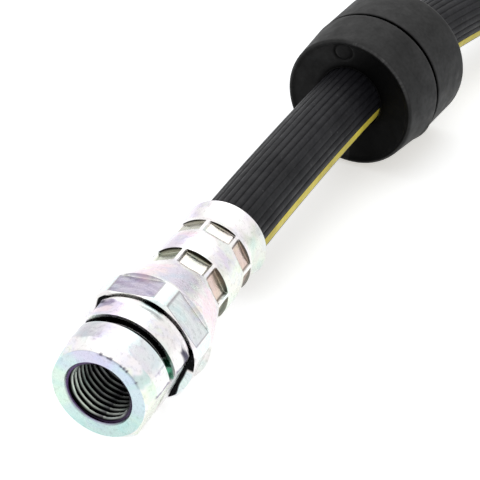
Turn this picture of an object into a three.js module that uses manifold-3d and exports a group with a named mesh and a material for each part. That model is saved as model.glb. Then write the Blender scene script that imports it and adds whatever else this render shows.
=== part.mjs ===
// Brake hose: a ribbed rubber hose with a crimped female end fitting, a rubber support grommet
// and a crimped male end fitting. Millimetres, +Z up, lying as it rests on a bench.
//
// Each end fitting is made along its own +X axis. Angles round an axis count from straight up
// towards -Y.

import * as THREE from "three";
import { mergeVertices } from "three/addons/utils/BufferGeometryUtils.js";
import Module from "manifold-3d";

const wasm = await Module();
wasm.setup();

// Clearances and mesh fineness

const FIT_GAP = 0.3;
const ROUND_SIDES = 36;
const HOSE_SIDES = 12;
const HOSE_STEPS = 56;
const CUTTER_OVERRUN = 1;

// Hose

const HOSE_RADIUS = 5.4;
const HOSE_BORE_RADIUS = 1.95;
const SLEEVE_OVERLAP = 1.5;

// Thread M10 x 1, which both ends share

const THREAD_MAJOR_RADIUS = 5.0;
const THREAD_MINOR_RADIUS = 4.46;

// Hexagon, which both ends share

const HEX_ACROSS_FLATS = 17;
const HEX_CORNER_RADIUS = 9.24;
const FEMALE_HEX_CORNER_ANGLE = 23.6;
const MALE_HEX_CORNER_ANGLE = 30;
const HEX_CHAMFER = 0.4;

// Nose of the female end, measured back from its face

const FACE_RADIUS = 7.1;
const COUNTERSINK_RADIUS = 5.25;
const COUNTERSINK_DEPTH = 0.7;
const NOSE_RADIUS = 8.3;
const NOSE_CHAMFER_LENGTH = 1.65;
const NOSE_LENGTH = 5.5;
const NOSE_FLATS_ACROSS = 14.4;
const NOSE_FLATS_ANGLE = 114;
const CLIP_GROOVE_WIDTH = 2.2;
const CLIP_GROOVE_RADIUS = 7.0;
const LAND_RADIUS = 8.45;
const LAND_LENGTH = 2.5;
const RIM_RADIUS = 8.75;
const RIM_LENGTH = 0.8;
const RIM_FRONT_CHAMFER = 0.25;
const THIN_GROOVE_WIDTH = 0.7;
const THIN_GROOVE_RADIUS = 7.0;
const COLLAR_LENGTH = 4.6;
const COLLAR_FLAT_INSET = 0.5;
const COLLAR_FLAT_LENGTH = 4.0;
const PORT_DEPTH = 12.6;
const SEAT_DEPTH = 1.8;
const FLUID_BORE_RADIUS = 1.1;

// Cone and crimped ferrule, which both ends share

const CONE_LENGTH = 8.2;
const CONE_BASE_RADIUS = 9.2;
const FERRULE_RADIUS = 6.5;
const FIRST_CRIMP_LENGTH = 2.8;
const BULGE_LENGTH = 5.7;
const BULGE_RADIUS = 6.65;
const SECOND_CRIMP_LENGTH = 2.2;
const WAIST_LENGTH = 1.3;
const WAIST_RADIUS = 6.3;
const BELL_LENGTH = 3.9;
const BELL_RADIUS = 6.8;
const BELL_WALL = 0.8;
const CRIMP_COUNT = 8;
const CRIMP_FLOOR_DISTANCE = 5.65;
const CRIMP_POCKET_WIDTH = 4.3;
const CRIMP_RIB_ANGLE = -2;
const CRIMP_WALL = 0.9;
const FERRULE_WALL = 1.0;
const SQUEEZE_RAMP = 0.5;

// Insert tubes

const INSERT_RADIUS = 1.6;
const INSERT_BORE_RADIUS = 1.1;
const INSERT_SEAT_DEPTH = 8.0;
const INSERT_END_MARGIN = 1.5;

// Male end, measured outward from the hexagon

const MALE_HEX_LENGTH = 9;
const MALE_SHOULDER_RADIUS = 7.6;
const MALE_SHOULDER_LENGTH = 1.2;
const MALE_NECK_RADIUS = 4.3;
const MALE_NECK_LENGTH = 2.2;
const MALE_THREAD_LENGTH = 9.8;
const MALE_TIP_RADIUS = 4.1;
const MALE_TIP_CHAMFER = 0.9;

// Support grommet, measured back from its front face

const GROMMET_FACE_RADIUS = 11.35;
const GROMMET_SHOULDER_RADIUS = 12.05;
const GROMMET_REAR_RADIUS = 12.0;
const GROMMET_FRONT_LENGTH = 8.5;
const GROMMET_LENGTH = 19.3;
const GROMMET_BORE_RADIUS = 6.25;
const GROMMET_EDGE = 0.45;
const GROMMET_RIM_WIDTH = 0.7;
const GROMMET_DISH_DEPTH = 1.2;
const GROMMET_GROOVE_WIDTH = 0.5;
const GROMMET_GROOVE_DEPTH = 0.5;

// Places along the hose, with each piece's turn about Z and its tilt up towards the hose

const FEMALE_TILT = 2.28;
const GROMMET_X = 84.46;
const GROMMET_Y = -1.52;
const GROMMET_TURN = -4.69;
const GROMMET_TILT = 0.85;
const MALE_MOUTH_X = 352;
const MALE_MOUTH_Y = -31.8;
const MALE_TURN = -2;

// Centreline of the hose, from inside one ferrule's mouth to inside the other's

const HOSE_ROUTE = [
  [38.5, 0, 10.28],
  [44, 0, 10.5],
  [52, -0.05, 10.82],
  [62, -0.25, 11.23],
  [73, -0.6, 11.68],
  [84.4, -1.15, 12.12],
  [94, -1.95, 12.36],
  [104, -3.1, 12.35],
  [114, -4.5, 12.2],
  [126, -6.8, 11.45],
  [140, -9.8, 10.1],
  [155, -13.0, 8.55],
  [170, -16.1, 7.1],
  [186, -19.2, 6.0],
  [204, -22.0, 5.5],
  [226, -24.7, 5.5],
  [250, -26.9, 5.5],
  [275, -28.5, 5.6],
  [300, -29.7, 6.3],
  [322, -30.6, 7.5],
  [338, -31.3, 8.25],
  [347, -31.63, 8.48],
  [353.5, -31.85, 8.5],
];

const degrees = THREE.MathUtils.degToRad;

const zinc = new THREE.MeshStandardMaterial({ color: 0xcfd2cf, roughness: 0.3, metalness: 0.9 });
const insertSteel = new THREE.MeshStandardMaterial({ color: 0xa9aaa8, roughness: 0.4, metalness: 0.9 });
const hoseRubber = new THREE.MeshStandardMaterial({ color: 0x232326, roughness: 0.6, metalness: 0 });
const grommetRubber = new THREE.MeshStandardMaterial({ color: 0x1c1c1d, roughness: 0.8, metalness: 0 });

// Merged copy of a closed geometry with its faces pointing out, as a solid for cutting and joining.
function toSolid(geometry) {
  const bare = geometry.clone();
  bare.deleteAttribute("normal");
  bare.deleteAttribute("uv");
  const merged = mergeVertices(bare, 1e-4);
  const points = merged.attributes.position;
  const corners = Uint32Array.from(merged.index.array);
  const a = new THREE.Vector3();
  const b = new THREE.Vector3();
  const c = new THREE.Vector3();
  const kept = [];
  let volume = 0;
  for (let i = 0; i < corners.length; i += 3) {
    const [p, q, r] = corners.subarray(i, i + 3);
    if (p === q || q === r || r === p) continue;
    a.fromBufferAttribute(points, p);
    b.fromBufferAttribute(points, q);
    c.fromBufferAttribute(points, r);
    volume += a.dot(b.cross(c));
    kept.push(p, q, r);
  }
  const triVerts = Uint32Array.from(kept);
  if (volume < 0) triVerts.reverse();
  const vertProperties = Float32Array.from(points.array);
  return new wasm.Manifold(new wasm.Mesh({ numProp: 3, vertProperties, triVerts }));
}

// Geometry of a finished solid.
function toGeometry(solid) {
  const mesh = solid.getMesh();
  const geometry = new THREE.BufferGeometry();
  geometry.setAttribute("position", new THREE.BufferAttribute(mesh.vertProperties, 3));
  geometry.setIndex(new THREE.BufferAttribute(mesh.triVerts, 1));
  geometry.computeVertexNormals();
  return geometry;
}

// Solid turned about +X from a closed loop of [radius, distance along the axis] points.
function turned(loop) {
  const points = [...loop, loop[0]].map(([radius, along]) => new THREE.Vector2(radius, along));
  const geometry = new THREE.LatheGeometry(points, ROUND_SIDES);
  geometry.rotateZ(-Math.PI / 2);
  return toSolid(geometry);
}

// Block that cuts away all that lies further out than a flat, over one stretch of the axis.
function flatCutter(angle, distance, start, end, width) {
  const depth = HEX_CORNER_RADIUS;
  const block = new THREE.BoxGeometry(end - start, width, depth);
  block.translate((start + end) / 2, 0, distance + depth / 2);
  block.rotateX(degrees(angle));
  return toSolid(block);
}

// Six flats of the hexagon between two places on the axis.
function cutHexagon(solid, cornerAngle, start, end) {
  let result = solid;
  const width = 2 * HEX_CORNER_RADIUS;
  for (let side = 0; side < 6; side += 1) {
    const angle = cornerAngle + 30 + 60 * side;
    result = result.subtract(flatCutter(angle, HEX_ACROSS_FLATS / 2, start, end, width));
  }
  return result;
}

// One row of flat-floored pockets that the crimping jaws press into the ferrule.
function cutCrimpRow(solid, start, end) {
  let result = solid;
  const pitch = 360 / CRIMP_COUNT;
  for (let jaw = 0; jaw < CRIMP_COUNT; jaw += 1) {
    const angle = CRIMP_RIB_ANGLE + pitch * (jaw + 0.5);
    const cutter = flatCutter(angle, CRIMP_FLOOR_DISTANCE, start, end, CRIMP_POCKET_WIDTH);
    result = result.subtract(cutter);
  }
  return result;
}

// Stations of the ferrule, counted from the end of the cone towards the mouth.
const firstCrimpEnd = FIRST_CRIMP_LENGTH;
const secondCrimpStart = firstCrimpEnd + BULGE_LENGTH;
const secondCrimpEnd = secondCrimpStart + SECOND_CRIMP_LENGTH;
const waistEnd = secondCrimpEnd + WAIST_LENGTH;
const ferruleLength = waistEnd + BELL_LENGTH;

const crimpInnerRadius = CRIMP_FLOOR_DISTANCE - CRIMP_WALL;
const bulgeInnerRadius = FERRULE_RADIUS - FERRULE_WALL;
const mouthInnerRadius = HOSE_RADIUS + FIT_GAP;

// Outside of the ferrule from the cone's end to the mouth.
function ferruleOutside() {
  return [
    [FERRULE_RADIUS, 0],
    [FERRULE_RADIUS, firstCrimpEnd],
    [BULGE_RADIUS, (firstCrimpEnd + secondCrimpStart) / 2],
    [FERRULE_RADIUS, secondCrimpStart],
    [FERRULE_RADIUS, secondCrimpEnd],
    [WAIST_RADIUS, waistEnd],
    [BELL_RADIUS, ferruleLength],
  ];
}

// Inside of the ferrule from the mouth back to its closed end, squeezed in at each crimp row.
function ferruleInside() {
  return [
    [BELL_RADIUS - BELL_WALL, ferruleLength],
    [mouthInnerRadius, ferruleLength - BELL_WALL],
    [mouthInnerRadius, waistEnd],
    [crimpInnerRadius, secondCrimpEnd],
    [crimpInnerRadius, secondCrimpStart],
    [bulgeInnerRadius, secondCrimpStart - SQUEEZE_RAMP],
    [bulgeInnerRadius, firstCrimpEnd + SQUEEZE_RAMP],
    [crimpInnerRadius, firstCrimpEnd],
    [crimpInnerRadius, 0],
  ];
}

// The same loop moved along the axis, and turned end for end where the direction is -1.
function placed(loop, start, direction) {
  return loop.map(([radius, along]) => [radius, start + direction * along]);
}

// Stations of the female end, from its face.
const grooveEnd = NOSE_LENGTH + CLIP_GROOVE_WIDTH;
const landEnd = grooveEnd + LAND_LENGTH;
const rimEnd = landEnd + RIM_LENGTH;
const collarStart = rimEnd + THIN_GROOVE_WIDTH;
const collarEnd = collarStart + COLLAR_LENGTH;
const coneEnd = collarEnd + CONE_LENGTH;
const femaleMouth = coneEnd + ferruleLength;
const insertSeatRadius = INSERT_RADIUS + FIT_GAP;

function makeFemaleFitting() {
  const insertSeat = coneEnd - INSERT_SEAT_DEPTH;
  const outside = [
    [COUNTERSINK_RADIUS, 0],
    [FACE_RADIUS, 0],
    [NOSE_RADIUS, NOSE_CHAMFER_LENGTH],
    [NOSE_RADIUS, NOSE_LENGTH],
    [CLIP_GROOVE_RADIUS, NOSE_LENGTH],
    [CLIP_GROOVE_RADIUS, grooveEnd],
    [LAND_RADIUS, grooveEnd],
    [LAND_RADIUS, landEnd],
    [RIM_RADIUS, landEnd + RIM_FRONT_CHAMFER],
    [HEX_ACROSS_FLATS / 2, rimEnd],
    [THIN_GROOVE_RADIUS, rimEnd],
    [THIN_GROOVE_RADIUS, collarStart],
    [HEX_CORNER_RADIUS - HEX_CHAMFER, collarStart],
    [HEX_CORNER_RADIUS, collarStart + HEX_CHAMFER],
    [HEX_CORNER_RADIUS, collarEnd],
    [CONE_BASE_RADIUS, collarEnd],
  ];
  const inside = [
    [insertSeatRadius, coneEnd],
    [insertSeatRadius, insertSeat],
    [FLUID_BORE_RADIUS, insertSeat],
    [FLUID_BORE_RADIUS, PORT_DEPTH + SEAT_DEPTH],
    [THREAD_MINOR_RADIUS, PORT_DEPTH],
    [THREAD_MINOR_RADIUS, COUNTERSINK_DEPTH],
  ];
  const loop = [
    ...outside,
    ...placed(ferruleOutside(), coneEnd, 1),
    ...placed(ferruleInside(), coneEnd, 1),
    ...inside,
  ];
  let solid = turned(loop);
  const flatsWidth = 2 * NOSE_RADIUS;
  for (const angle of [NOSE_FLATS_ANGLE, NOSE_FLATS_ANGLE - 180]) {
    solid = solid.subtract(
      flatCutter(angle, NOSE_FLATS_ACROSS / 2, -CUTTER_OVERRUN, rimEnd, flatsWidth),
    );
  }
  solid = cutHexagon(solid, FEMALE_HEX_CORNER_ANGLE, landEnd, rimEnd + THIN_GROOVE_WIDTH / 2);
  const flatStart = collarStart + COLLAR_FLAT_INSET;
  solid = cutHexagon(solid, FEMALE_HEX_CORNER_ANGLE, flatStart, flatStart + COLLAR_FLAT_LENGTH);
  solid = cutCrimpRow(solid, coneEnd, coneEnd + firstCrimpEnd);
  solid = cutCrimpRow(solid, coneEnd + secondCrimpStart, coneEnd + secondCrimpEnd);
  return toGeometry(solid);
}

// Stations of the male end, from its mouth outwards.
const maleConeEnd = ferruleLength + CONE_LENGTH;
const maleHexEnd = maleConeEnd + MALE_HEX_LENGTH;
const maleShoulderEnd = maleHexEnd + MALE_SHOULDER_LENGTH;
const maleNeckEnd = maleShoulderEnd + MALE_NECK_LENGTH;
const maleTip = maleNeckEnd + MALE_THREAD_LENGTH;

function makeMaleFitting() {
  const insertSeat = ferruleLength + INSERT_SEAT_DEPTH;
  const outside = [
    [CONE_BASE_RADIUS, maleConeEnd],
    [HEX_CORNER_RADIUS, maleConeEnd],
    [HEX_CORNER_RADIUS, maleHexEnd - HEX_CHAMFER],
    [HEX_CORNER_RADIUS - HEX_CHAMFER, maleHexEnd],
    [MALE_SHOULDER_RADIUS, maleHexEnd],
    [MALE_SHOULDER_RADIUS, maleShoulderEnd],
    [MALE_NECK_RADIUS, maleShoulderEnd],
    [MALE_NECK_RADIUS, maleNeckEnd],
    [THREAD_MAJOR_RADIUS, maleNeckEnd + MALE_TIP_CHAMFER],
    [THREAD_MAJOR_RADIUS, maleTip - MALE_TIP_CHAMFER],
    [MALE_TIP_RADIUS, maleTip],
    [FLUID_BORE_RADIUS, maleTip],
    [FLUID_BORE_RADIUS, insertSeat],
    [insertSeatRadius, insertSeat],
    [insertSeatRadius, ferruleLength],
  ];
  const loop = [
    ...placed(ferruleOutside(), ferruleLength, -1).reverse(),
    ...outside,
    ...placed(ferruleInside(), ferruleLength, -1).reverse(),
  ];
  let solid = turned(loop);
  solid = cutHexagon(solid, MALE_HEX_CORNER_ANGLE, ferruleLength, maleHexEnd + CUTTER_OVERRUN);
  solid = cutCrimpRow(solid, ferruleLength - firstCrimpEnd, ferruleLength);
  solid = cutCrimpRow(solid, ferruleLength - secondCrimpEnd, ferruleLength - secondCrimpStart);
  return toGeometry(solid);
}

// Insert tube, from its seat in the fitting's body towards the ferrule's mouth.
function makeInsert() {
  const start = FIT_GAP;
  const end = INSERT_SEAT_DEPTH + ferruleLength - INSERT_END_MARGIN;
  const tube = turned([
    [INSERT_RADIUS, start],
    [INSERT_RADIUS, end],
    [INSERT_BORE_RADIUS, end],
    [INSERT_BORE_RADIUS, start],
  ]);
  return toGeometry(tube);
}

// End of the hose inside a ferrule, squeezed by both crimp rows, from the ferrule's closed end.
function makeSqueezedEnd() {
  const underCrimp = crimpInnerRadius - FIT_GAP;
  const underBulge = bulgeInnerRadius - FIT_GAP;
  const sweptEnd = ferruleLength - SLEEVE_OVERLAP;
  return turned([
    [HOSE_BORE_RADIUS, FIT_GAP],
    [underCrimp, FIT_GAP],
    [underCrimp, firstCrimpEnd],
    [underBulge, firstCrimpEnd + SQUEEZE_RAMP],
    [underBulge, secondCrimpStart - SQUEEZE_RAMP],
    [underCrimp, secondCrimpStart],
    [underCrimp, secondCrimpEnd],
    [underBulge, waistEnd],
    [underBulge, sweptEnd],
    [HOSE_BORE_RADIUS, sweptEnd],
  ]);
}

function makeGrommet() {
  const grooveStart = GROMMET_FRONT_LENGTH;
  const rearStart = grooveStart + GROMMET_GROOVE_WIDTH;
  const grooveRadius = GROMMET_REAR_RADIUS - GROMMET_GROOVE_DEPTH;
  const solid = turned([
    [GROMMET_BORE_RADIUS, GROMMET_DISH_DEPTH],
    [GROMMET_FACE_RADIUS - GROMMET_EDGE - GROMMET_RIM_WIDTH, GROMMET_EDGE],
    [GROMMET_FACE_RADIUS - GROMMET_EDGE, 0],
    [GROMMET_FACE_RADIUS, GROMMET_EDGE],
    [GROMMET_SHOULDER_RADIUS, grooveStart],
    [grooveRadius, grooveStart],
    [grooveRadius, rearStart],
    [GROMMET_REAR_RADIUS, rearStart],
    [GROMMET_REAR_RADIUS, GROMMET_LENGTH - GROMMET_EDGE],
    [GROMMET_REAR_RADIUS - GROMMET_EDGE, GROMMET_LENGTH],
    [GROMMET_BORE_RADIUS, GROMMET_LENGTH],
  ]);
  return toGeometry(solid);
}

// Matrix that stands a piece's own +X axis at a place, turned about Z and then tilted up.
function stand(place, turn, tilt) {
  const spin = new THREE.Euler(0, degrees(-tilt), degrees(turn), "ZYX");
  const matrix = new THREE.Matrix4().makeRotationFromEuler(spin);
  return matrix.setPosition(place);
}

// Height of a piece's starting point when the round edge named lies on the surface at Z = 0.
function restingHeight(edgeRadius, edgeAlong, tilt) {
  return edgeRadius * Math.cos(degrees(tilt)) - edgeAlong * Math.sin(degrees(tilt));
}

// The female end lies on its collar's front edge, the grommet on its shoulder's edge and the male
// end on a flat of its hexagon.
const femaleHeight = restingHeight(HEX_CORNER_RADIUS, collarStart + HEX_CHAMFER, FEMALE_TILT);
const grommetHeight = restingHeight(GROMMET_SHOULDER_RADIUS, GROMMET_FRONT_LENGTH, GROMMET_TILT);
const maleHeight = HEX_ACROSS_FLATS / 2;

const femalePlace = stand(new THREE.Vector3(0, 0, femaleHeight), 0, FEMALE_TILT);
const grommetPlace = stand(
  new THREE.Vector3(GROMMET_X, GROMMET_Y, grommetHeight),
  GROMMET_TURN,
  GROMMET_TILT,
);
const malePlace = stand(new THREE.Vector3(MALE_MOUTH_X, MALE_MOUTH_Y, maleHeight), MALE_TURN, 0);

// Ring of points for the hose's section.
function ringPoints(radius) {
  const points = [];
  for (let side = 0; side < HOSE_SIDES; side += 1) {
    const angle = (2 * Math.PI * side) / HOSE_SIDES;
    points.push(new THREE.Vector2(radius * Math.cos(angle), radius * Math.sin(angle)));
  }
  return points;
}

function makeHose() {
  const section = new THREE.Shape(ringPoints(HOSE_RADIUS));
  section.holes.push(new THREE.Path(ringPoints(HOSE_BORE_RADIUS).reverse()));
  const route = new THREE.CatmullRomCurve3(
    HOSE_ROUTE.map(([x, y, z]) => new THREE.Vector3(x, y, z)),
    false,
    "centripetal",
  );
  const tube = new THREE.ExtrudeGeometry(section, { steps: HOSE_STEPS, extrudePath: route });
  const fromFemaleCone = new THREE.Matrix4().makeTranslation(coneEnd, 0, 0).premultiply(femalePlace);
  const fromMaleCone = new THREE.Matrix4()
    .makeTranslation(ferruleLength, 0, 0)
    .multiply(new THREE.Matrix4().makeRotationZ(Math.PI))
    .premultiply(malePlace);
  const ends = [fromFemaleCone, fromMaleCone].map((place) =>
    makeSqueezedEnd().transform(place.elements),
  );
  return toGeometry(toSolid(tube).add(ends[0]).add(ends[1]));
}

function part(name, geometry, material, place) {
  const mesh = new THREE.Mesh(geometry, material);
  mesh.name = name;
  if (place) mesh.applyMatrix4(place);
  return mesh;
}

const femaleInsertPlace = new THREE.Matrix4()
  .makeTranslation(coneEnd - INSERT_SEAT_DEPTH, 0, 0)
  .premultiply(femalePlace);
const maleInsertPlace = new THREE.Matrix4()
  .makeTranslation(ferruleLength + INSERT_SEAT_DEPTH, 0, 0)
  .multiply(new THREE.Matrix4().makeRotationZ(Math.PI))
  .premultiply(malePlace);

const rigid = new THREE.Group();
rigid.add(
  part("female_end_fitting", makeFemaleFitting(), zinc, femalePlace),
  part("female_end_insert", makeInsert(), insertSteel, femaleInsertPlace),
  part("support_grommet", makeGrommet(), grommetRubber, grommetPlace),
  part("male_end_fitting", makeMaleFitting(), zinc, malePlace),
  part("male_end_insert", makeInsert(), insertSteel, maleInsertPlace),
);

// The origin is under the middle of the fittings and the grommet, on the surface they lie on.
const box = new THREE.Box3().setFromObject(rigid, true);
const middle = box.getCenter(new THREE.Vector3());

const group = new THREE.Group();
group.add(rigid, part("hose", makeHose(), hoseRubber));
group.position.set(-middle.x, -middle.y, -box.min.z);

export default group;
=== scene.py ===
"""Brake hose: the looks of the hose, its two crimped end fittings and its rubber grommet.

Shapes are worked out in millimetres along each piece's own axis and written in metres. Angles round
an axis count from straight up towards -Y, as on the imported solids.
"""

import math

import bmesh
import bpy
import numpy as np
from mathutils import Matrix, Vector


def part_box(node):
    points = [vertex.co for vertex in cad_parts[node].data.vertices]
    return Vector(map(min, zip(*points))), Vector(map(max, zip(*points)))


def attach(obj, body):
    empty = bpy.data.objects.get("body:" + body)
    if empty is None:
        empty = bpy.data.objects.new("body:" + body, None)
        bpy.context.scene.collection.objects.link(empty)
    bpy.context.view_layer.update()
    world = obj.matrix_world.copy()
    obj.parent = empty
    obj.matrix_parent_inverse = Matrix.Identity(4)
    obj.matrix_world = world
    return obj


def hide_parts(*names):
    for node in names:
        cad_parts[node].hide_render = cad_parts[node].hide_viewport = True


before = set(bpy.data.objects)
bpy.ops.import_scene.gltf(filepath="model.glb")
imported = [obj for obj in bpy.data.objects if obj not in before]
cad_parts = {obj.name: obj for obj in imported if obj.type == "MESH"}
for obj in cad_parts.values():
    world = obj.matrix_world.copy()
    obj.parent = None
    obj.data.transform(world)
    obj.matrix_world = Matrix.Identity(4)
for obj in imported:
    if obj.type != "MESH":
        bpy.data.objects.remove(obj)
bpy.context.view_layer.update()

MM = 0.001

# Camera: the photograph's view, as a place seen from the middle of the female end's face

PICTURE_SIDE = 480
FOCAL_PIXELS = 2143
SENSOR_WIDTH = 36
CAMERA_FROM_FACE = Vector((-203.53, -116.29, 173.62)) * MM
CAMERA_HEADING = 25.03
CAMERA_DIP = 32.5
NEAREST_SHOWN = 0.01

# Hose

HOSE_RADIUS = 5.4
HOSE_BORE_RADIUS = 1.95
RIB_COUNT = 30
RIB_DEPTH = 0.17
RIB_SHARPNESS = 0.6
# Painted shade in the grooves between the ribs
GROOVE_TONE = 0.6
GROOVE_FADE = (0.35, 0.8)
STRIPE_HALF_ANGLE = 12
STRIPE_SINK = 0.04
STRIPE_RUN = [0, 34, 56, 76, 88, 118]
STRIPE_ANGLE = [103, 106, 110, 116, 120, 122]
HOSE_ROUTE = [
    (38.5, 0, 10.28),
    (44, 0, 10.5),
    (52, -0.05, 10.82),
    (62, -0.25, 11.23),
    (73, -0.6, 11.68),
    (84.4, -1.15, 12.12),
    (94, -1.95, 12.36),
    (104, -3.1, 12.35),
    (114, -4.5, 12.2),
    (126, -6.8, 11.45),
    (140, -9.8, 10.1),
    (155, -13.0, 8.55),
    (170, -16.1, 7.1),
    (186, -19.2, 6.0),
    (204, -22.0, 5.5),
    (226, -24.7, 5.5),
    (250, -26.9, 5.5),
    (275, -28.5, 5.6),
    (300, -29.7, 6.3),
    (322, -30.6, 7.5),
    (338, -31.3, 8.25),
    (347, -31.63, 8.48),
    (353.5, -31.85, 8.5),
]

# Thread and hexagon, which both ends share

THREAD_MAJOR_RADIUS = 5.0
THREAD_MINOR_RADIUS = 4.46
THREAD_PITCH = 1.0
THREAD_FLATNESS = 1.35
HEX_DISTANCE = 8.5
HEX_CORNER_RADIUS = 9.24
HEX_CHAMFER = 0.4
HEX_PITCH = 60
FEMALE_HEX_CORNER = 23.6
MALE_HEX_CORNER = 30

# Nose of the female end

FACE_RADIUS = 7.1
COUNTERSINK_RADIUS = 5.25
NOSE_RADIUS = 8.3
NOSE_CHAMFER_LENGTH = 1.65
NOSE_LENGTH = 5.5
NOSE_FLAT_DISTANCE = 7.2
NOSE_FLATS_ANGLE = 114
CLIP_GROOVE_END = 7.05
CLIP_GROOVE_RADIUS = 7.0
LAND_RADIUS = 8.45
LAND_END = 10.2
RIM_RADIUS = 8.75
RIM_FRONT_CHAMFER = 0.25
RIM_END = 11.3
THIN_GROOVE_RADIUS = 7.0
COLLAR_START = 11.7
COLLAR_END = 16.3
COLLAR_FLAT_END = 16.2
PORT_DEPTH = 12.6
PORT_THREAD_START = 0.3
PORT_LEAD_IN = (0.2, 0.65)
COLLAR_FRONT_FROM = 7.7
COUNTERSINK_DEPTH = 0.35
LINER_START = 0.55
LINER_RADIUS = 5.3
LINER_WALL = 0.05

# Cone and crimped ferrule, which both ends share

CONE_LENGTH = 8.2
CONE_BASE_RADIUS = 9.2
FERRULE_RADIUS = 6.5
BULGE_RADIUS = 6.65
WAIST_RADIUS = 6.3
BELL_RADIUS = 6.8
FIRST_CRIMP_END = 2.8
SECOND_CRIMP_START = 8.5
SECOND_CRIMP_END = 10.7
WAIST_END = 12.0
FERRULE_LENGTH = 15.9
MOUTH_INNER_RADIUS = 5.75
BELL_INNER_RADIUS = 6.1
BELL_DEPTH = 1
CRIMP_COUNT = 8
CRIMP_HALF_WIDTH = 2.15
CRIMP_RIB_ANGLE = -2
CRIMP_SIDE_WALL = 0.16
CRIMP_REAR_WALL = 0.1
CRIMP_FRONT_EASE = 0.2
CRIMP_BOW_SHARE = 0.6
CRIMP_ROWS = [
    # Start, end, lead-in before the start, and distance of the pocket's floor from the axis
    (0, FIRST_CRIMP_END + 0.25, 1.3, 5.65),
    (SECOND_CRIMP_START, SECOND_CRIMP_END + 0.2, 0.7, 5.9),
]

# Male end, from its mouth outwards

MALE_HEX_LENGTH = 9
MALE_SHOULDER_RADIUS = 7.6
MALE_SHOULDER_LENGTH = 1.2
MALE_NECK_RADIUS = 4.3
MALE_NECK_LENGTH = 2.2
MALE_THREAD_LENGTH = 9.8
MALE_TIP_RADIUS = 4.1
MALE_TIP_CHAMFER = 0.9
FLUID_BORE_RADIUS = 1.1

# Support grommet

GROMMET_FACE_RADIUS = 11.35
GROMMET_SHOULDER_RADIUS = 12.05
GROMMET_REAR_RADIUS = 12.0
GROMMET_FRONT_LENGTH = 8.5
GROMMET_LENGTH = 19.3
GROMMET_GRIP_RADIUS = 5.5
GROMMET_DISH_DEPTH = 1.2
GROMMET_SEAM_DEPTH = 0.5
GROMMET_GROOVE_WIDTH = 0.75
GROMMET_GROOVE_DEPTH = 0.9
GRIP_SHIFT_FRONT = (0.37, 0.2)
GRIP_SHIFT_REAR = (0.03, 0.14)
MOULD_MARK_PLACE = (8.8, -9)
MOULD_MARK_RADIUS = 1.6
MOULD_MARK_WIDTH = 0.22
MOULD_MARK_DEPTH = 0.16
MOULD_LIP_ANGLE = 124
MOULD_LIP_SPREAD = 12
MOULD_LIP_LENGTH = 0.3
MOULD_LIP_HEIGHT = 0.25

# Tones of the grommet, as shares of its rubber's own: painted shade over the face, on one side of the
# mould mark, round the hose and in the groove, and a painted highlight along the front edge

FACE_TONE = 0.6
SHADED_TONE = 0.12
SHADED_ANGLES = (30, 160)
MARK_TONE = 0.1
MARK_SHARES = (0.9, 0.35)
CONTACT_SHADE_TONE = 0.05
CONTACT_SHADE_RADII = (5.6, 6.9)
EDGE_HIGHLIGHT_TONE = 2.6
EDGE_HIGHLIGHT_RADII = (10.9, 11.3)
EDGE_HIGHLIGHT_ANGLES = (8, 66)
EDGE_HIGHLIGHT_LEAST = 0.35
EDGE_HIGHLIGHT_UNEVENNESS = 4

# Places

FEMALE_TILT = 2.28
GROMMET_X = 84.46
GROMMET_Y = -1.52
GROMMET_TURN = -4.69
GROMMET_TILT = 0.85
MALE_MOUTH_X = 352
MALE_MOUTH_Y = -31.8
MALE_TURN = -2

# Mesh fineness

AROUND = 320
MALE_AROUND = 288
THREAD_AROUND = 180
GROMMET_AROUND = 360
HOSE_AROUND = 300
NOSE_FIRST_STATION = 0.1
NOSE_STEP = 0.22
GROOVE_LINE_STATION = 6.86
PANEL_STEP = 0.16
CONE_STEP = 0.6
FERRULE_STEP = 0.35
FERRULE_FIRST_STATION = -1.8
THREAD_STEP = 0.1
MALE_THREAD_STEP = 0.125
GROMMET_STEP = 0.6
GROMMET_FACE_RINGS = 48
HOSE_STEP = 1.5
ROUTE_PARTS = 24
WALL_STATIONS = 9
WALL_MARGINS = (0.06, 0.04)
WALL_INSETS = (0.3, 0.15)
FILLET_PARTS = (0, 0.33, 0.67, 1)
FILLET_REACH = 0.45
STRAIGHT_COSINE = -0.99999
WIDEST_FROM_FLAT = 80
EDGE = 0.02
CORNER_EASE = 0.06
SHARP_CORNER = 40

# Tones

FULL_TONE = 255
SCREEN_GAMMA = 2.2


def tone(red, green, blue):
    """Colour that shows as these values out of 255 under even white light."""
    return (np.array([red, green, blue]) / FULL_TONE) ** SCREEN_GAMMA


# Tones of the plated steel: the bare plate, its faint rainbow tints, painted highlights, and painted
# shade in its dark corners and recesses

PLATE = tone(240, 240, 238)
# BRIGHT serves painted highlights, and also the light half of the collar's tool arcs
BRIGHT = tone(250, 250, 250)
GREY_WHITE = tone(214, 216, 220)
FACE_LILAC = tone(206, 204, 224)
CYAN_WHITE = tone(232, 248, 248)
CYAN_GREY = tone(190, 220, 217)
TEAL = tone(188, 222, 216)
BLUISH = tone(205, 214, 232)
LAVENDER = tone(222, 214, 234)
MAUVE = tone(150, 140, 170)
PANEL_MAUVE = tone(184, 180, 196)
PANEL_TEAL = tone(232, 240, 241)
PINK = tone(246, 224, 230)
CREAM = tone(242, 237, 226)
TAN = tone(150, 134, 118)
PINK_TAN = tone(214, 186, 170)
PALE_GREEN = tone(228, 242, 214)
GREEN_GREY = tone(222, 228, 218)
# SLATE serves painted shade and painted reflections, as well as the tool arcs and the nicks
SLATE = tone(92, 90, 104)
PURPLE_LINE = tone(104, 84, 124)
DARK_GREEN = tone(24, 72, 56)
MID_GREEN = tone(140, 208, 178)
# Painted reflection: a thin light line on the clip groove's floor
GROOVE_LINE = tone(120, 132, 142)
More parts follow.
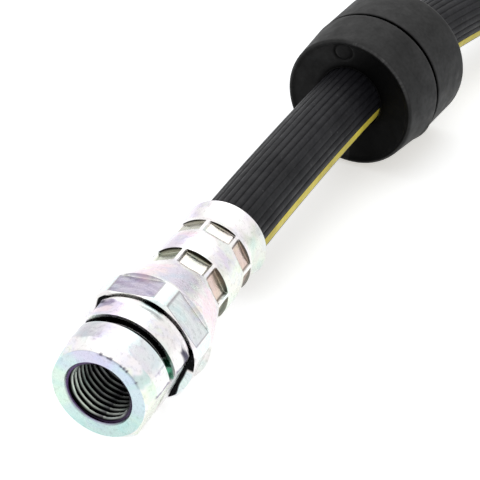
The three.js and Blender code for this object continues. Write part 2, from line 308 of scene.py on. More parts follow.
# Painted shade: black in the grooves and gaps, brown round the crimp pockets
SHADE_BLACK = tone(22, 22, 24)
BROWN_SHADE = tone(38, 36, 31)
WALL_GREY = tone(168, 168, 156)
POCKET_GREEN = tone(200, 206, 192)
# Painted light and shade on the port's thread: lit crests, dim crests deep in the port, and black
# roots
THREAD_CREST = tone(206, 218, 206)
THREAD_DEEP_CREST = tone(112, 112, 116)
PORT_SHADE_BLACK = tone(12, 12, 13)

# Tints, painted highlights and painted shade: colour, share, reach along the axis, reach round it,
# then how far each fades out

FEMALE_TINTS_AND_PAINTED_LIGHT = [
    # Face
    (CYAN_GREY, 0.9, (-1, 0.03), (-181, 181), (0.04, 1)),
    (PALE_GREEN, 0.4, (-1, 0.03), (-120, -70), (0.04, 25)),
    (FACE_LILAC, 0.9, (-1, 0.03), (-40, 25), (0.04, 25)),
    (BLUISH, 0.5, (-1, 0.03), (35, 75), (0.04, 25)),
    # Chamfer, with a painted highlight over its top
    (BRIGHT, 1.0, (0.2, 1.6), (-40, 48), (0.1, 12)),
    (TEAL, 0.7, (0.1, 1.6), (53, 62), (0.1, 5)),
    (PALE_GREEN, 0.6, (0.1, 1.7), (70, 84), (0.1, 5)),
    (TEAL, 0.5, (0.1, 1.6), (-100, -52), (0.1, 12)),
    # Nose
    (GREY_WHITE, 0.9, (1.9, 5.4), (-36, 26), (0.3, 12)),
    (PANEL_MAUVE, 0.45, (2.0, 4.4), (-30, -18), (0.9, 8)),
    (PANEL_MAUVE, 0.4, (2.6, 5.0), (-6, 4), (0.9, 6)),
    (MAUVE, 0.3, (1.9, 2.8), (-10, -5), (0.6, 4)),
    (CYAN_WHITE, 0.8, (1.8, 5.4), (15, 28), (0.3, 6)),
    (BLUISH, 0.35, (2.4, 5.0), (34, 58), (0.8, 10)),
    (MAUVE, 0.4, (2.6, 5.4), (64.5, 65.5), (0.3, 1)),
    (PALE_GREEN, 0.5, (0.4, 5.4), (88, 140), (0.3, 3)),
    (PURPLE_LINE, 0.75, (1.5, 5.4), (83.2, 85), (0.3, 1.2)),
    # Clip groove's floor: black painted shade, green at its sides, and a thin painted reflection line
    (SHADE_BLACK, 1.0, (5.51, 6.95), (-44, 62), (0.01, 4)),
    (GROOVE_LINE, 0.9, (6.83, 6.9), (-30, 56), (0.04, 5)),
    (DARK_GREEN, 1.0, (5.51, 6.95), (66, 74), (0.01, 5)),
    (MID_GREEN, 1.0, (5.51, 6.95), (-64, -48), (0.01, 6)),
    (MID_GREEN, 0.8, (5.51, 6.95), (79, 86), (0.01, 4)),
    (DARK_GREEN, 1.0, (5.51, 6.95), (88, 97), (0.01, 3)),
    # Land, with painted reflections of the rim's corners as mauve and slate patches just before the
    # rim
    (LAVENDER, 0.8, (7.2, 10.0), (-40, 8), (0.2, 8)),
    (PINK, 0.6, (7.9, 9.4), (-36, -20), (0.2, 8)),
    (BLUISH, 0.45, (7.9, 9.6), (15, 28), (0.2, 6)),
    (MAUVE, 0.8, (9.3, 10.15), (-32, -17), (0.4, 4)),
    (SLATE, 0.3, (9.98, 10.18), (14, 30), (0.12, 4)),
    (SLATE, 1.0, (9.75, 10.18), (71, 84), (0.4, 5)),
    (PURPLE_LINE, 0.8, (7.2, 10.1), (83.2, 85.5), (0.1, 2)),
    # Rim: painted shade on its front chamfer and its back near the hexagon's corners, and a painted
    # highlight along its top
    (SLATE, 0.3, (10.21, 10.4), (13, 33), (0.03, 4)),
    (SLATE, 1.0, (10.21, 10.4), (75, 93), (0.03, 4)),
    (SLATE, 1.0, (10.21, 10.4), (-46, -27), (0.03, 4)),
    (BRIGHT, 1.0, (10.48, 11.2), (-60, 80), (0.03, 10)),
    (SHADE_BLACK, 1.0, (11.0, 11.31), (15, 30), (0.25, 7)),
    (SHADE_BLACK, 1.0, (11.0, 11.31), (78, 90), (0.25, 5)),
    # Thin groove, and the collar's front and chamfer: painted shade in the groove and on part of the
    # collar's front, and a painted highlight on the chamfer
    (SHADE_BLACK, 1.0, (11.35, 11.64), (-181, 181), (0.02, 1)),
    (SHADE_BLACK, 1.0, (11.69, 11.71), (86, 101), (0.01, 2)),
    (CYAN_WHITE, 1.0, (11.69, 11.71), (106, 140), (0.01, 3)),
    (BRIGHT, 1.0, (11.76, 12.12), (-60, 90), (0.03, 12)),
    # Cone
    (PINK, 0.7, (16.6, 21.5), (-16, 2), (0.6, 8)),
    (LAVENDER, 0.75, (16.6, 22.5), (10, 34), (0.6, 8)),
    (PINK, 0.7, (16.6, 22.5), (58, 84), (0.6, 10)),
    # Bulge, with a painted highlight over its top
    (LAVENDER, 0.6, (28.0, 31.5), (-44, -8), (0.8, 10)),
    (BRIGHT, 1.0, (28.2, 31.0), (2, 30), (0.8, 10)),
    (LAVENDER, 0.6, (29.6, 30.8), (36, 60), (0.5, 8)),
    (PINK, 0.5, (31.0, 32.6), (-30, 20), (0.5, 12)),
    (PALE_GREEN, 0.35, (27.4, 33.0), (60, 110), (0.3, 12)),
    # Mouth, with a painted highlight over its top
    (LAVENDER, 0.55, (36.8, 40.4), (-66, -34), (0.4, 10)),
    (BRIGHT, 1.0, (36.4, 40.3), (-14, 38), (0.4, 12)),
    (GREEN_GREY, 0.9, (36.4, 40.4), (56, 110), (0.4, 8)),
]
MALE_STAINS = [
    (PLATE, 0.8, (0, 3.5), (-60, 60), (0.4, 30)),
    (LAVENDER, 0.7, (5.5, 9.5), (-120, -30), (0.8, 20)),
    (PINK, 0.6, (5.5, 9.5), (40, 120), (0.8, 20)),
    (PLATE, 0.8, (16.5, 22), (-40, 30), (1.0, 20)),
    (LAVENDER, 0.6, (17, 23), (60, 150), (1.0, 20)),
    (PALE_GREEN, 0.5, (17, 23), (-150, -70), (1.0, 20)),
]

# How the patches' outlines wander: waves of (share, count round the axis, turn for each millimetre)

PATCH_WANDER = 0.5
DRIFT_ALONG = [(1.0, 7, 1.3), (0.5, 19, -2.1)]
DRIFT_AROUND = [(1.0, 3, 2.2), (0.5, -8, 5.3)]

# Paint of the crimp pockets, tints and painted shade, whose sides are reaches round the axis

LOW_SIDE = (44, 140)
UNDER_SIDE = (90, 140)
LEFT_SIDE = (-181, -4)
POCKET_TINTS = [
    # Colour, share, reach round the axis and how far it fades out
    (CREAM, 0.8, (-181, 181), 1),
    (PINK_TAN, 0.7, LOW_SIDE, 4),
    (POCKET_GREEN, 0.7, LEFT_SIDE, 3),
]
POCKET_DEPTHS = (0.1, 0.3)
# Reaches of the painted shade: tan crescents before the pockets, dark outlines and dark rear walls
CRESCENT_REACH = (0.7, 0.25)
OUTLINE_INSETS = (0.22, 0.05)
WALL_REACH = (0.9, 0.1)
DARK_WALL_REACH = 0.62
DARK_WALL_LESS_AT_LEFT = 0.25

# Marks on the female end, and painted shade in its gaps and round the collar's flats

FACE_NICKS = 12
NICK_ANGLES = (6, 62)
NICK_HALF_ANGLES = (0.3, 1.0)
NICK_DEPTHS = (0.04, 0.16)
NICK_INSETS = (0.35, 0.15)
WORN_LINE_DEPTH = 0.06
STATION_EASE = 0.005
# Painted shade in the gap before the collar, reaching furthest at the hexagon's corners
GAP_EDGE_AT_FLATS = 7.8
GAP_EDGE_RISE = 1.2
GAP_CORNER_SPREAD = 12
# Painted shade at the foot of the clip groove's rear wall, black and green
CLIP_WALL_DARK = (7.9, 8.1)
CLIP_WALL_COLOURS = [
    (SHADE_BLACK, (-44, 62)),
    (MID_GREEN, (-66, -50)),
    (DARK_GREEN, (66, 74)),
    (MID_GREEN, (78, 88)),
]
PANEL_START = 12.25
PANEL_END = 16.05
PANEL_HALF_ANGLE = 21.8
# Painted shade: a dark line round each flat and across its ends
PANEL_BORDER = (22.3, 23.6)
PANEL_END_LINES = (0.06, 0.05)
UPPER_PANEL_FROM = -40
SIDE_PANEL_TO = 88
TOOL_ARC_PITCH = 0.62
TOOL_ARC_CENTRE = 9.4
TOOL_ARC_SHARE = 0.14
TOOL_ARC_SHAKE = (2, 5)
BLOTCH_SHARE = 0.35
BLOTCH_WAVES = (2.1, 7, 1.4)

# Painted light and shade down the port's thread

CREST_REACH = (0.26, 0.04)
CREST_FADE_LENGTH = 5
LIT_LEFT = (-150, -70)
LIT_BELOW = (140, 179)
LIT_BELOW_SHARE = 0.6
LEAD_IN_LENGTH = 0.4


def resting_height(radius, along, tilt):
    """Height of a piece's start when its round edge lies on the surface."""
    return radius * math.cos(math.radians(tilt)) - along * math.sin(math.radians(tilt))


female_low, female_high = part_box("female_end_fitting")
FACE_LEAN = FACE_RADIUS * math.sin(math.radians(FEMALE_TILT)) * MM
ORIGIN = Vector((female_low.x + FACE_LEAN, (female_low.y + female_high.y) / 2, 0))


def stand(x, y, z, turn, tilt):
    """Matrix from a piece's own axis, in millimetres, to the row frame, in metres."""
    place = Matrix.Translation(ORIGIN + Vector((x, y, z)) * MM)
    heading = Matrix.Rotation(math.radians(turn), 4, "Z")
    return place @ heading @ Matrix.Rotation(math.radians(-tilt), 4, "Y") @ Matrix.Scale(MM, 4)


FEMALE_HEIGHT = resting_height(HEX_CORNER_RADIUS, COLLAR_START + HEX_CHAMFER, FEMALE_TILT)
GROMMET_HEIGHT = resting_height(GROMMET_SHOULDER_RADIUS, GROMMET_FRONT_LENGTH, GROMMET_TILT)
FEMALE_PLACE = stand(0, 0, FEMALE_HEIGHT, 0, FEMALE_TILT)
GROMMET_PLACE = stand(GROMMET_X, GROMMET_Y, GROMMET_HEIGHT, GROMMET_TURN, GROMMET_TILT)
MALE_PLACE = stand(MALE_MOUTH_X, MALE_MOUTH_Y, HEX_DISTANCE, MALE_TURN, 0)


def make_camera():
    camera = bpy.data.objects.new("camera", bpy.data.cameras.new("camera"))
    bpy.context.scene.collection.objects.link(camera)
    camera.data.sensor_width = SENSOR_WIDTH
    camera.data.lens = FOCAL_PIXELS * SENSOR_WIDTH / PICTURE_SIDE
    camera.data.clip_start = NEAREST_SHOWN
    camera.location = FEMALE_PLACE.translation + CAMERA_FROM_FACE
    camera.rotation_euler = (math.radians(90 - CAMERA_DIP), 0, math.radians(CAMERA_HEADING - 90))
    bpy.context.scene.camera = camera


make_camera()


# Mesh building


def rounded(points):
    """Polyline through (along, radius, fillet) points, with each corner eased by its fillet.

    A point on a straight stretch stays as it is.
    """
    corners = [Vector(point[:2]) for point in points]
    line = [corners[0]]
    for before, here, after, point in zip(corners, corners[1:], corners[2:], points[1:]):
        back, onward = before - here, after - here
        if back.normalized().dot(onward.normalized()) < STRAIGHT_COSINE:
            line.append(here)
            continue
        reach = min(point[2], FILLET_REACH * back.length, FILLET_REACH * onward.length)
        start = here + back.normalized() * reach
        end = here + onward.normalized() * reach
        for t in FILLET_PARTS:
            line.append((1 - t) ** 2 * start + 2 * t * (1 - t) * here + t**2 * end)
    line.append(corners[-1])
    return line


def with_stations(line, stations):
    """The same polyline with more points where it passes the given places along the axis."""
    result = [line[0]]
    for before, here in zip(line, line[1:]):
        inside = [s for s in stations if before.x + EDGE < s < here.x - EDGE]
        for s in sorted(inside):
            result.append(before.lerp(here, (s - before.x) / (here.x - before.x)))
        result.append(here)
    return result


def columns(line, around):
    """Places along the axis, and the radius there at each angle."""
    along = np.array([point.x for point in line])
    radius = np.repeat(np.array([point.y for point in line])[:, None], around, axis=1)
    return along, radius


def all_round(around):
    """Evenly spaced angles from -180 degrees on."""
    return np.arange(around) * 360 / around - 180


def soft_min(a, b, ease):
    """The smaller of two values, eased where they cross."""
    return 0.5 * (a + b - np.sqrt((a - b) ** 2 + ease**2))


def smooth_step(low, high, value):
    """0 below the low value, 1 above the high one, and a smooth rise between them."""
    t = np.clip((value - low) / (high - low), 0, 1)
    return t * t * (3 - 2 * t)


def band(value, low, high, ease):
    """1 between two values, fading to 0 over the ease beyond them."""
    return smooth_step(low - ease, low, value) * (1 - smooth_step(high, high + ease, value))


def off_centre(angles, centre, pitch):
    """How far each angle lies from the nearest of a set of evenly spaced ones."""
    return (angles - centre + pitch / 2) % pitch - pitch / 2


def flat_limit(angles, centre, distance, pitch):
    """Radius at which each angle meets the nearest of a set of equal flats."""
    away = np.clip(off_centre(angles, centre, pitch), -WIDEST_FROM_FLAT, WIDEST_FROM_FLAT)
    return distance / np.cos(np.radians(away))


def grid_object(name, rings, attributes, place, material, loop=True):
    """Object whose surface joins rings of points, in millimetres.

    The last ring joins the first one, or else both of these are closed with a flat cap.
    """
    count, around, _ = rings.shape
    mesh = bpy.data.meshes.new(name)
    first = np.arange(count * around).reshape(count, around)
    if loop:
        lower, upper = first, np.roll(first, -1, axis=0)
    else:
        lower, upper = first[:-1], first[1:]
    faces = np.stack(
        [lower, np.roll(lower, -1, axis=1), np.roll(upper, -1, axis=1), upper], axis=-1
    ).reshape(-1, 4)
    mesh.from_pydata(rings.reshape(-1, 3).tolist(), [], faces.tolist())
    for key, values in attributes.items():
        layer = mesh.attributes.new(key, "FLOAT_VECTOR", "POINT")
        layer.data.foreach_set("vector", values.reshape(-1).astype(np.float32))
    mesh.transform(place)
    clean = bmesh.new()
    clean.from_mesh(mesh)
    if not loop:
        bmesh.ops.holes_fill(clean, edges=clean.edges, sides=0)
    bmesh.ops.recalc_face_normals(clean, faces=clean.faces)
    clean.to_mesh(mesh)
    clean.free()
    mesh.polygons.foreach_set("use_smooth", [True] * len(mesh.polygons))
    mesh.set_sharp_from_angle(angle=math.radians(SHARP_CORNER))
    mesh.materials.append(material)
    obj = bpy.data.objects.new(name, mesh)
    bpy.context.scene.collection.objects.link(obj)
    return obj


def turned_points(along, radius, angles):
    """Points at each station and angle, and their turning coordinates for the tool marks."""
    radius = np.broadcast_to(radius, (len(along), len(angles)))
    spread = np.broadcast_to(np.asarray(along)[:, None], radius.shape)
    turn = np.broadcast_to(np.radians(angles)[None, :], radius.shape)
    points = np.stack([spread, -radius * np.sin(turn), radius * np.cos(turn)], axis=-1)
    return points, np.stack([spread, radius, turn], axis=-1)


def plated_object(name, place, angles, *sides):
    """Plated steel piece turned round its axis, from the (along, radius, paint) of its sides."""
    along, radius, paint = [np.concatenate(parts) for parts in zip(*sides)]
    points, marks = turned_points(along, radius, angles)
    return grid_object(name, points, {"turn": marks, "paint": paint}, place, ZINC)


# Paint: the colour at each point, with painted highlights and shade laid in, before the material's
# fine grain


def plain_paint(along, angles, colour):
    return np.tile(colour, (len(along), len(angles), 1))


def lay(paint, colour, share):
    """Moves the paint towards a colour by the share at each point."""
    paint += share[..., None] * (colour - paint)


def drift(turn, lengthwise, waves):
    """Sum of waves over the surface, for an outline that isn't a straight one."""
    return sum(share * np.sin(count * turn + rate * lengthwise) for share, count, rate in waves)


def lay_tints_and_painted_light(paint, along, angles, patches):
    """Lays each patch, a tint or painted light or shade, with an outline that wanders by part of its
    fading width.
    """
    lengthwise = along[:, None]
    turn = np.radians(angles)[None, :]
    shift_along = PATCH_WANDER * drift(turn, lengthwise, DRIFT_ALONG)
    shift_around = PATCH_WANDER * drift(turn, lengthwise, DRIFT_AROUND)
    for colour, share, (start, end), (low, high), (ease_along, ease_around) in patches:
        length_share = band(lengthwise + ease_along * shift_along, start, end, ease_along)
        turn_share = band(angles[None, :] + ease_around * shift_around, low, high, ease_around)
        lay(paint, colour, share * length_share * turn_share)


def paint_pockets(paint, angles, across, pressed, crescent):
    """Tinted floors of the crimp pockets, tan crescents of painted shade before them and dark lines of
    painted shade at their sides.
    """
    for colour, share, (low, high), ease in POCKET_TINTS:
        lay(paint, colour, share * pressed * band(angles, low, high, ease)[None, :])
    lay(paint, TAN, 0.7 * crescent)
    inner, outer = [CRIMP_HALF_WIDTH - inset for inset in OUTLINE_INSETS]
    outline = band(across, inner, outer, 0.1)
    low_side = band(angles, *LOW_SIDE, 4)[None, :]
    lay(paint, BROWN_SHADE, outline * pressed * (0.15 + 0.5 * low_side))


def paint_rear_wall(paint, angles, lengthwise, end, side):
    """Grey rear wall of a crimp row, dark in its upper part where little light gets in."""
    low_side = band(angles, *LOW_SIDE, 4)[None, :]
    under_side = band(angles, *UNDER_SIDE, 4)[None, :]
    left_side = band(angles, *LEFT_SIDE, 3)[None, :]
    foot, top = [end - share * CRIMP_REAR_WALL for share in WALL_REACH]
    lay(paint, WALL_GREY, band(lengthwise, foot, top, 0.02) * side)
    dark_foot = end - CRIMP_REAR_WALL * (DARK_WALL_REACH - DARK_WALL_LESS_AT_LEFT * left_side)
    darkness = 1 - 0.35 * low_side - 0.3 * under_side
    lay(paint, BROWN_SHADE, band(lengthwise, dark_foot, top, 0.015) * side * darkness)


def press_crimps(paint, along, radius, angles):
    """Radius after both rows of flat-floored pockets are pressed in. The pockets are also painted.

    Along is counted from the cone's end to the mouth.
    """
    pitch = 360 / CRIMP_COUNT
    away = np.radians((angles - CRIMP_RIB_ANGLE) % pitch - pitch / 2)
    across = np.abs(radius * np.sin(away))
    half_wall = CRIMP_SIDE_WALL / 2
    side = 1 - smooth_step(CRIMP_HALF_WIDTH - half_wall, CRIMP_HALF_WIDTH + half_wall, across)
    rib = band(across, CRIMP_HALF_WIDTH + CRIMP_SIDE_WALL, FERRULE_RADIUS, 0.05)
    lengthwise = along[:, None]
    for start, end, lead, floor_distance in CRIMP_ROWS:
        bow = lead * np.clip(1 - (across / CRIMP_HALF_WIDTH) ** 2, 0, 1)
        bow_start = start - CRIMP_BOW_SHARE * bow
        front = smooth_step(bow_start - CRIMP_FRONT_EASE, start + CRIMP_FRONT_EASE, lengthwise)
        rear = 1 - smooth_step(end - CRIMP_REAR_WALL, end, lengthwise)
        floor = floor_distance / np.cos(away)
        depth = np.maximum(radius - floor, 0) * side * front * rear
        pressed = smooth_step(*POCKET_DEPTHS, depth)
        crescent_start, crescent_end = [start - share * bow for share in CRESCENT_REACH]
        crescent = band(lengthwise, crescent_start, crescent_end - 0.05, 0.3 * lead)
        crescent = lead * crescent * side * smooth_step(0.05, 0.7, bow)
        paint_pockets(paint, angles, across, pressed, crescent)
        paint_rear_wall(paint, angles, lengthwise, end, side)
        # Painted highlight along the ribs between the pockets
        lay(paint, BRIGHT, rib * band(lengthwise, start, end, 0.3))
        radius = radius - depth
    return radius


# Materials, whose colours go through (place in the noise, tone) stops

RAINBOW = [
    (0.30, (0.86, 0.97, 0.97)),
    (0.44, (1.0, 1.0, 0.98)),
    (0.55, (1.0, 0.95, 0.97)),
    (0.63, (0.95, 0.93, 1.0)),
    (0.72, (0.97, 1.0, 0.90)),
]
SPECKS = [(0.33, 0.86), (0.47, 1.0)]
HOSE_BLACK = [
    (0.30, (0.007, 0.007, 0.009)),
    (0.62, (0.014, 0.014, 0.017)),
    (0.70, (0.018, 0.018, 0.021)),
    (0.75, 0.08),
]
YELLOW = [(0.35, (0.90, 0.74, 0.06)), (0.65, (1.0, 0.86, 0.14))]
GROMMET_BLACK = [(0.35, 0.013), (0.65, 0.022)]
ROUGHNESS_SPREAD = 0.08


def new_material(name):
    material = bpy.data.materials.new(name)
    material.use_nodes = True
    nodes, links = material.node_tree.nodes, material.node_tree.links
    return material, nodes, links, nodes["Principled BSDF"]


def noise(nodes, links, vector, scale, detail=3, roughness=0.5):
    texture = nodes.new("ShaderNodeTexNoise")
    texture.inputs["Scale"].default_value = scale
    texture.inputs["Detail"].default_value = detail
    texture.inputs["Roughness"].default_value = roughness
    links.new(vector, texture.inputs["Vector"])
    return texture.outputs["Fac"]


def ramp(nodes, links, factor, stops):
    """Colour ramp through (position, grey or colour) stops."""
    node = nodes.new("ShaderNodeValToRGB")
    elements = node.color_ramp.elements
    while len(elements) < len(stops):
        elements.new(0.5)
    for element, (position, value) in zip(elements, stops):
        element.position = position
        element.color = (*np.broadcast_to(value, 3), 1)
    links.new(factor, node.inputs["Fac"])
    return node.outputs["Color"]


def multiply(nodes, links, first, second):
    node = nodes.new("ShaderNodeVectorMath")
    node.operation = "MULTIPLY"
    links.new(first, node.inputs[0])
    links.new(second, node.inputs[1])
    return node.outputs["Vector"]


def attribute(nodes, name):
    node = nodes.new("ShaderNodeAttribute")
    node.attribute_name = name
    return node.outputs["Vector"]


def bump(nodes, links, height, distance, strength, normal=None):
    node = nodes.new("ShaderNodeBump")
    node.inputs["Distance"].default_value = distance
    node.inputs["Strength"].default_value = strength
    links.new(height, node.inputs["Height"])
    if normal:
        links.new(normal, node.inputs["Normal"])
    return node.outputs["Normal"]


def stretched(nodes, links, vector, scale):
    node = nodes.new("ShaderNodeMapping")
    node.inputs["Scale"].default_value = scale
    links.new(vector, node.inputs["Vector"])
    return node.outputs["Vector"]


def object_coordinates(nodes):
    return nodes.new("ShaderNodeTexCoord").outputs["Object"]


def make_zinc():
    """Bright zinc: painted tone with painted highlights and shade, faint rainbow clouds, fine grey
    specks and turning marks.
    """
    material, nodes, links, shader = new_material("zinc_plate")
    place = object_coordinates(nodes)
    clouds = ramp(nodes, links, noise(nodes, links, place, 260, detail=2), RAINBOW)
    specks = ramp(nodes, links, noise(nodes, links, place, 1900, detail=5), SPECKS)
    colour = multiply(nodes, links, clouds, specks)
    links.new(multiply(nodes, links, colour, attribute(nodes, "paint")), shader.inputs["Base Color"])
    shader.inputs["Metallic"].default_value = 1
    rough = ramp(nodes, links, noise(nodes, links, place, 900), [(0.3, 0.2), (0.7, 0.36)])
    links.new(rough, shader.inputs["Roughness"])
    grain = noise(nodes, links, place, 2500)
    normal = bump(nodes, links, grain, distance=0.00002, strength=0.5)
    rings = noise(nodes, links, stretched(nodes, links, attribute(nodes, "turn"), (9, 9, 0.4)), 1)
    normal = bump(nodes, links, rings, distance=0.00003, strength=0.35, normal=normal)
    links.new(normal, shader.inputs["Normal"])
    return material


def make_insert_steel():
    material, nodes, links, shader = new_material("insert_steel")
    place = object_coordinates(nodes)
    colour = ramp(nodes, links, noise(nodes, links, place, 600), [(0.35, 0.5), (0.65, 0.62)])
    links.new(colour, shader.inputs["Base Color"])
    shader.inputs["Metallic"].default_value = 1
    rough = ramp(nodes, links, noise(nodes, links, place, 900), [(0.3, 0.3), (0.7, 0.42)])
    links.new(rough, shader.inputs["Roughness"])
    return material


def make_rubber(name, stops, roughness, gloss, grain):
    """Rubber whose tone goes through the stops with a fine noise, times the painted tone, which holds
    painted shade and highlights.
    """
    material, nodes, links, shader = new_material(name)
    place = object_coordinates(nodes)
    colour = ramp(nodes, links, noise(nodes, links, place, 1500, detail=4), stops)
    clouds = ramp(nodes, links, noise(nodes, links, place, 150, detail=2), [(0.35, 0.72), (0.65, 1.0)])
    tint = multiply(nodes, links, clouds, attribute(nodes, "paint"))
    links.new(multiply(nodes, links, colour, tint), shader.inputs["Base Color"])
    shader.inputs["Specular IOR Level"].default_value = gloss
    links.new(tint, shader.inputs["Specular Tint"])
    stops = [(0.3, roughness - ROUGHNESS_SPREAD), (0.7, roughness + ROUGHNESS_SPREAD)]
    links.new(ramp(nodes, links, noise(nodes, links, place, 500), stops), shader.inputs["Roughness"])
    normal = bump(nodes, links, noise(nodes, links, place, grain), distance=0.00006, strength=0.5)
    links.new(normal, shader.inputs["Normal"])
    return material


ZINC = make_zinc()
INSERT_STEEL = make_insert_steel()
HOSE_RUBBER = make_rubber("hose_rubber", HOSE_BLACK, roughness=0.5, gloss=0.22, grain=2200)
STRIPE = make_rubber("stripe_yellow", YELLOW, roughness=0.5, gloss=0.3, grain=2200)
GROMMET_RUBBER = make_rubber("grommet_rubber", GROMMET_BLACK, roughness=0.6, gloss=0.27, grain=900)


# End fittings


def ferrule_outside():
    """Outside of the ferrule from the cone's end to the mouth, as (along, radius, fillet)."""
    middle = (FIRST_CRIMP_END + SECOND_CRIMP_START) / 2
    return [
        (0, FERRULE_RADIUS, 0.6),
        (FIRST_CRIMP_END, FERRULE_RADIUS, 0.3),
        (middle, BULGE_RADIUS, 2.0),
        (SECOND_CRIMP_START, FERRULE_RADIUS, 0.3),
        (SECOND_CRIMP_END, FERRULE_RADIUS, 0.3),
        (WAIST_END, WAIST_RADIUS, 1.0),
        (FERRULE_LENGTH, BELL_RADIUS, 0.15),
    ]


def ferrule_mouth():
    """Inside of the mouth as far as it shows, and its closed end."""
    return [
        (FERRULE_LENGTH, BELL_INNER_RADIUS, 0.15),
        (FERRULE_LENGTH - BELL_DEPTH, MOUTH_INNER_RADIUS, 0.4),
        (WAIST_END, MOUTH_INNER_RADIUS, 0.2),
        (WAIST_END, HOSE_BORE_RADIUS, 0.05),
    ]


def wall_stations(place, wall):
    """Close stations across a steep wall that ends at the place, and just outside it."""
    before, after = WALL_MARGINS
    return list(np.linspace(place - wall - before, place + after, WALL_STATIONS))


def wall_points(place, low, high, count):
    """Points up a wall that stands across the axis, so that paint can change on it."""
    return [(place, radius, EDGE) for radius in np.linspace(low, high, count)]


def ferrule_stations():
    """Stations from the cone to the mouth, closest at the crimp rows' walls."""
    stations = list(np.arange(FERRULE_FIRST_STATION, FERRULE_LENGTH, FERRULE_STEP))
    for _, end, _, _ in CRIMP_ROWS:
        stations += wall_stations(end, CRIMP_REAR_WALL)
    return stations


def paint_gap(paint, along, radius, angles):
    """Painted shade in the gap before the collar, which shows most at the hexagon's corners."""
    corner = off_centre(angles, FEMALE_HEX_CORNER, HEX_PITCH)
    nearness = np.exp(-((corner / GAP_CORNER_SPREAD) ** 2))
    gap_edge = GAP_EDGE_AT_FLATS + GAP_EDGE_RISE * nearness
    front = band(along, COLLAR_START - EDGE, COLLAR_START, STATION_EASE)[:, None]
    lay(paint, SHADE_BLACK, front * (1 - smooth_step(gap_edge - 0.1, gap_edge + 0.1, radius)))
    rim_back = band(along, RIM_END - STATION_EASE, RIM_END + EDGE, STATION_EASE)[:, None]
    lay(paint, SHADE_BLACK, rim_back * nearness[None, :])


def paint_clip_wall(paint, along, radius, angles):
    """Painted shade, dark and green, at the foot of the clip groove's rear wall."""
    clip_wall = band(along, CLIP_GROOVE_END - EDGE, CLIP_GROOVE_END, STATION_EASE)[:, None]
    clip_wall = clip_wall * (1 - smooth_step(*CLIP_WALL_DARK, radius))
    for colour, (low, high) in CLIP_WALL_COLOURS:
        lay(paint, colour, clip_wall * band(angles, low, high, 4)[None, :])


def paint_collar(paint, along, angles):
    """Brushed flats of the collar, with a dark line of painted shade round each and light bands
    between them.
    """
    away = off_centre(angles, FEMALE_HEX_CORNER + HEX_PITCH / 2, HEX_PITCH)[None, :]
    lengthwise = band(along, PANEL_START, PANEL_END, 0.04)[:, None]
    panel = lengthwise * band(np.abs(away), 0, PANEL_HALF_ANGLE, 0.8)
    upper = band(angles, UPPER_PANEL_FROM, FEMALE_HEX_CORNER, 1)[None, :]
    side = band(angles, FEMALE_HEX_CORNER, SIDE_PANEL_TO, 1)[None, :]
    lay(paint, PANEL_TEAL, panel * side)
    lay(paint, PANEL_MAUVE, panel * upper)
    reach = np.hypot(along[:, None] - TOOL_ARC_CENTRE, HEX_DISTANCE * np.radians(away))
    shake, shake_rate = TOOL_ARC_SHAKE
    phase = 2 * math.pi * reach / TOOL_ARC_PITCH + shake * np.sin(shake_rate * reach)
    arcs = 0.5 + 0.5 * np.sin(phase)
    rate, count, twist = BLOTCH_WAVES
    around = np.sin(np.radians(count * angles) + twist * along[:, None])
    blotches = np.sin(rate * along)[:, None] * around
    lay(paint, SLATE, TOOL_ARC_SHARE * arcs * panel)
    lay(paint, BRIGHT, TOOL_ARC_SHARE * (1 - arcs) * panel)
    lay(paint, PURPLE_LINE, BLOTCH_SHARE * np.clip(blotches, 0, 1) * panel * upper)
    border = lengthwise * band(np.abs(away), *PANEL_BORDER, 0.5)
    before, after = PANEL_END_LINES
    ends = band(along, PANEL_START - before, PANEL_START, 0.03)
    ends = ends + band(along, PANEL_END, PANEL_END + after, 0.03)
    border = np.maximum(border, ends[:, None] * band(np.abs(away), 0, PANEL_BORDER[1], 0.3))
    lay(paint, SLATE, 0.6 * border * (upper + side))
    lay(paint, CYAN_WHITE, lengthwise * band(np.abs(away), PANEL_BORDER[1] + 1, 30, 0.5))


def paint_nicks(paint, along, radius, angles):
    """Worn line and small dark nicks where the face's outer edge was knocked."""
    draws = np.random.default_rng(7)
    outer_edge = smooth_step(*[FACE_RADIUS - inset for inset in NICK_INSETS], radius)
    worn_line = band(along, 0, WORN_LINE_DEPTH, 0.04)[:, None] * band(angles, *NICK_ANGLES, 6)[None, :]
    lay(paint, SLATE, 0.35 * worn_line * outer_edge)
    for _ in range(FACE_NICKS):
        centre = draws.uniform(*NICK_ANGLES)
        spread = draws.uniform(*NICK_HALF_ANGLES)
        depth = draws.uniform(*NICK_DEPTHS)
        width = band(angles, centre - spread, centre + spread, 0.6)[None, :]
        lay(paint, SLATE, 0.8 * band(along, 0, depth, 0.05)[:, None] * width * outer_edge)


def paint_port(paint, along, radius, angles):
    """Thin bright crests of the thread, painted light that dims into painted shade down the port, and
    its purple lead-in.
    """
    crest = smooth_step(*[THREAD_MINOR_RADIUS + reach for reach in CREST_REACH], radius)
    depth = smooth_step(PORT_THREAD_START, PORT_THREAD_START + CREST_FADE_LENGTH, along)[:, None]
    lit_below = LIT_BELOW_SHARE * band(angles, *LIT_BELOW, 20)
    lit = np.maximum(band(angles, *LIT_LEFT, 30), lit_below)[None, :]
    lay(paint, THREAD_DEEP_CREST, crest * (0.8 - 0.5 * depth))
    lay(paint, THREAD_CREST, crest * lit * (1 - 0.85 * depth))
    lead_in = 1 - smooth_step(PORT_THREAD_START, PORT_THREAD_START + LEAD_IN_LENGTH, along)
    lay(paint, PURPLE_LINE, 0.7 * lead_in[:, None])


